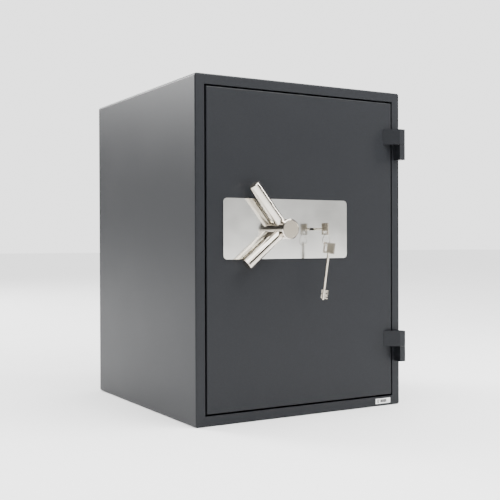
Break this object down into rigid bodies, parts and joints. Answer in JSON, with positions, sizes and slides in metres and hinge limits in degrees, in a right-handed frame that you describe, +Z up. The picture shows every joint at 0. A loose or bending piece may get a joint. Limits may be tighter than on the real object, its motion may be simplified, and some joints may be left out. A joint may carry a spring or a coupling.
{
  "type": "free-standing safe",
  "caption": "Free-standing steel safe with one side-hinged door, external hinges, a V-shaped turn handle, throwing bolts, a double-bit key lock and lift-out shelves.",
  "frame": {"origin": "centre of the base, on the floor", "axes": "+X to the right seen from the front, +Y to the back, +Z up; the door is on the -Y side"},
  "size_m": [0.5, 0.5709, 0.68],
  "materials": {
    "cabinet_paint": "fine textured satin powder coat, anthracite",
    "interior_paint": "light grey powder coat",
    "mineral_fill": "cast mineral insulation",
    "seal": "matt black intumescent strip",
    "plated_steel": "zinc plated",
    "bolt_steel": "ground and plated",
    "brushed_plate": "finely brushed stainless steel",
    "polished_handle": "polished",
    "brass": "machined",
    "key_nickel": "nickel plated",
    "label_paper": "white label with plain grey bars"
  },
  "bodies": {
    "cabinet": {"outer_shell": "cabinet_paint", "door_frame": "cabinet_paint", "wall_filler": "mineral_fill", "inner_liner": "interior_paint", "fire_seal": "seal", "floor_anchor_sleeves": "plated_steel", "rear_anchor_sleeves": "plated_steel", "hinge_knuckle_lower": "cabinet_paint", "hinge_knuckle_upper": "cabinet_paint", "hinge_pins": "plated_steel", "hinge_washers": "plated_steel", "front_label": "label_paper", "shelf_rails": "plated_steel", "shelf_clips": "plated_steel"},
    "door": {"door_plate": "cabinet_paint", "door_filler": "mineral_fill", "door_pan": "cabinet_paint", "hard_plate": "plated_steel", "spindle_bush": "brass", "escutcheon_plate": "brushed_plate", "boltwork_box": "interior_paint", "dog_bolts": "bolt_steel", "boltwork_cover": "interior_paint", "cover_posts": "plated_steel", "cover_screws": "plated_steel", "carriage_rails": "plated_steel", "hinge_leaf_lower": "cabinet_paint", "hinge_leaf_upper": "cabinet_paint", "lock_case": "plated_steel", "lock_cover": "plated_steel", "lock_screws": "plated_steel", "lever_post": "plated_steel"},
    "handle": {"handle_hub": "polished_handle", "handle_arm_upper": "polished_handle", "handle_arm_lower": "polished_handle", "spindle": "plated_steel", "spindle_collar": "plated_steel", "drive_pinion": "plated_steel"},
    "side_bolts": {"side_rack": "plated_steel", "side_bolts": "bolt_steel", "side_carriage": "plated_steel"},
    "top_bolt": {"top_rack": "plated_steel", "top_bolt": "bolt_steel"},
    "bottom_bolt": {"bottom_rack": "plated_steel", "bottom_bolt": "bolt_steel"},
    "key": {"key": "key_nickel"},
    "key_ring": {"key_ring": "key_nickel"},
    "spare_key": {"spare_key": "key_nickel"},
    "lock_bolt": {"lock_bolt": "plated_steel"},
    "levers": {"lever_pack": "brass"},
    "shelf_lower": {"shelf_lower": "interior_paint"},
    "shelf_upper": {"shelf_upper": "interior_paint"}
  },
  "joints": [
    {"name": "door_swing", "type": "hinge", "parent": "cabinet", "child": "door", "pos_m": [0.243, -0.267, 0.34], "axis": [0, 0, 1], "range_deg": [0, 180]},
    {"name": "handle_turn", "type": "hinge", "parent": "door", "child": "handle", "pos_m": [-0.0635, -0.255, 0.381], "axis": [0, 1, 0], "range_deg": [0, 90]},
    {"name": "side_bolts_slide", "type": "slide", "parent": "door", "child": "side_bolts", "axis": [-1, 0, 0], "range_m": [0, 0.0252]},
    {"name": "top_bolt_slide", "type": "slide", "parent": "door", "child": "top_bolt", "axis": [0, 0, 1], "range_m": [0, 0.0252]},
    {"name": "bottom_bolt_slide", "type": "slide", "parent": "door", "child": "bottom_bolt", "axis": [0, 0, -1], "range_m": [0, 0.0252]},
    {"name": "key_turn", "type": "hinge", "parent": "door", "child": "key", "pos_m": [0.0235, -0.255, 0.382], "axis": [0, 1, 0], "range_deg": [-90, 0]},
    {"name": "ring_swing", "type": "hinge", "parent": "key", "child": "key_ring", "pos_m": [0.0235, -0.299, 0.37125], "axis": [0, 1, 0], "range_deg": [0, 90]},
    {"name": "spare_key_swing", "type": "hinge", "parent": "key_ring", "child": "spare_key", "pos_m": [0.0235, -0.299, 0.349], "axis": [0, 1, 0], "range_deg": [-15, 15]},
    {"name": "lock_bolt_slide", "type": "slide", "parent": "door", "child": "lock_bolt", "axis": [0, 0, -1], "range_m": [0, 0.012]},
    {"name": "lever_lift", "type": "hinge", "parent": "door", "child": "levers", "pos_m": [0.048, -0.2, 0.42], "axis": [0, 1, 0], "range_deg": [0, 3]},
    {"name": "shelf_lower_lift", "type": "slide", "parent": "cabinet", "child": "shelf_lower", "axis": [0, 0, 1], "range_m": [0, 0.02]},
    {"name": "shelf_upper_lift", "type": "slide", "parent": "cabinet", "child": "shelf_upper", "axis": [0, 0, 1], "range_m": [0, 0.02]}
  ],
  "couplings": [
    {"joint": "side_bolts_slide", "follows": "handle_turn", "m_per_rad": 0.016},
    {"joint": "top_bolt_slide", "follows": "handle_turn", "m_per_rad": 0.016},
    {"joint": "bottom_bolt_slide", "follows": "handle_turn", "m_per_rad": 0.016},
    {"joint": "ring_swing", "follows": "key_turn", "ratio": -1},
    {"joint": "lock_bolt_slide", "follows": "key_turn", "m_per_rad": -0.00763},
    {"joint": "lever_lift", "follows": "key_turn", "ratio": -0.0333}
  ]
}
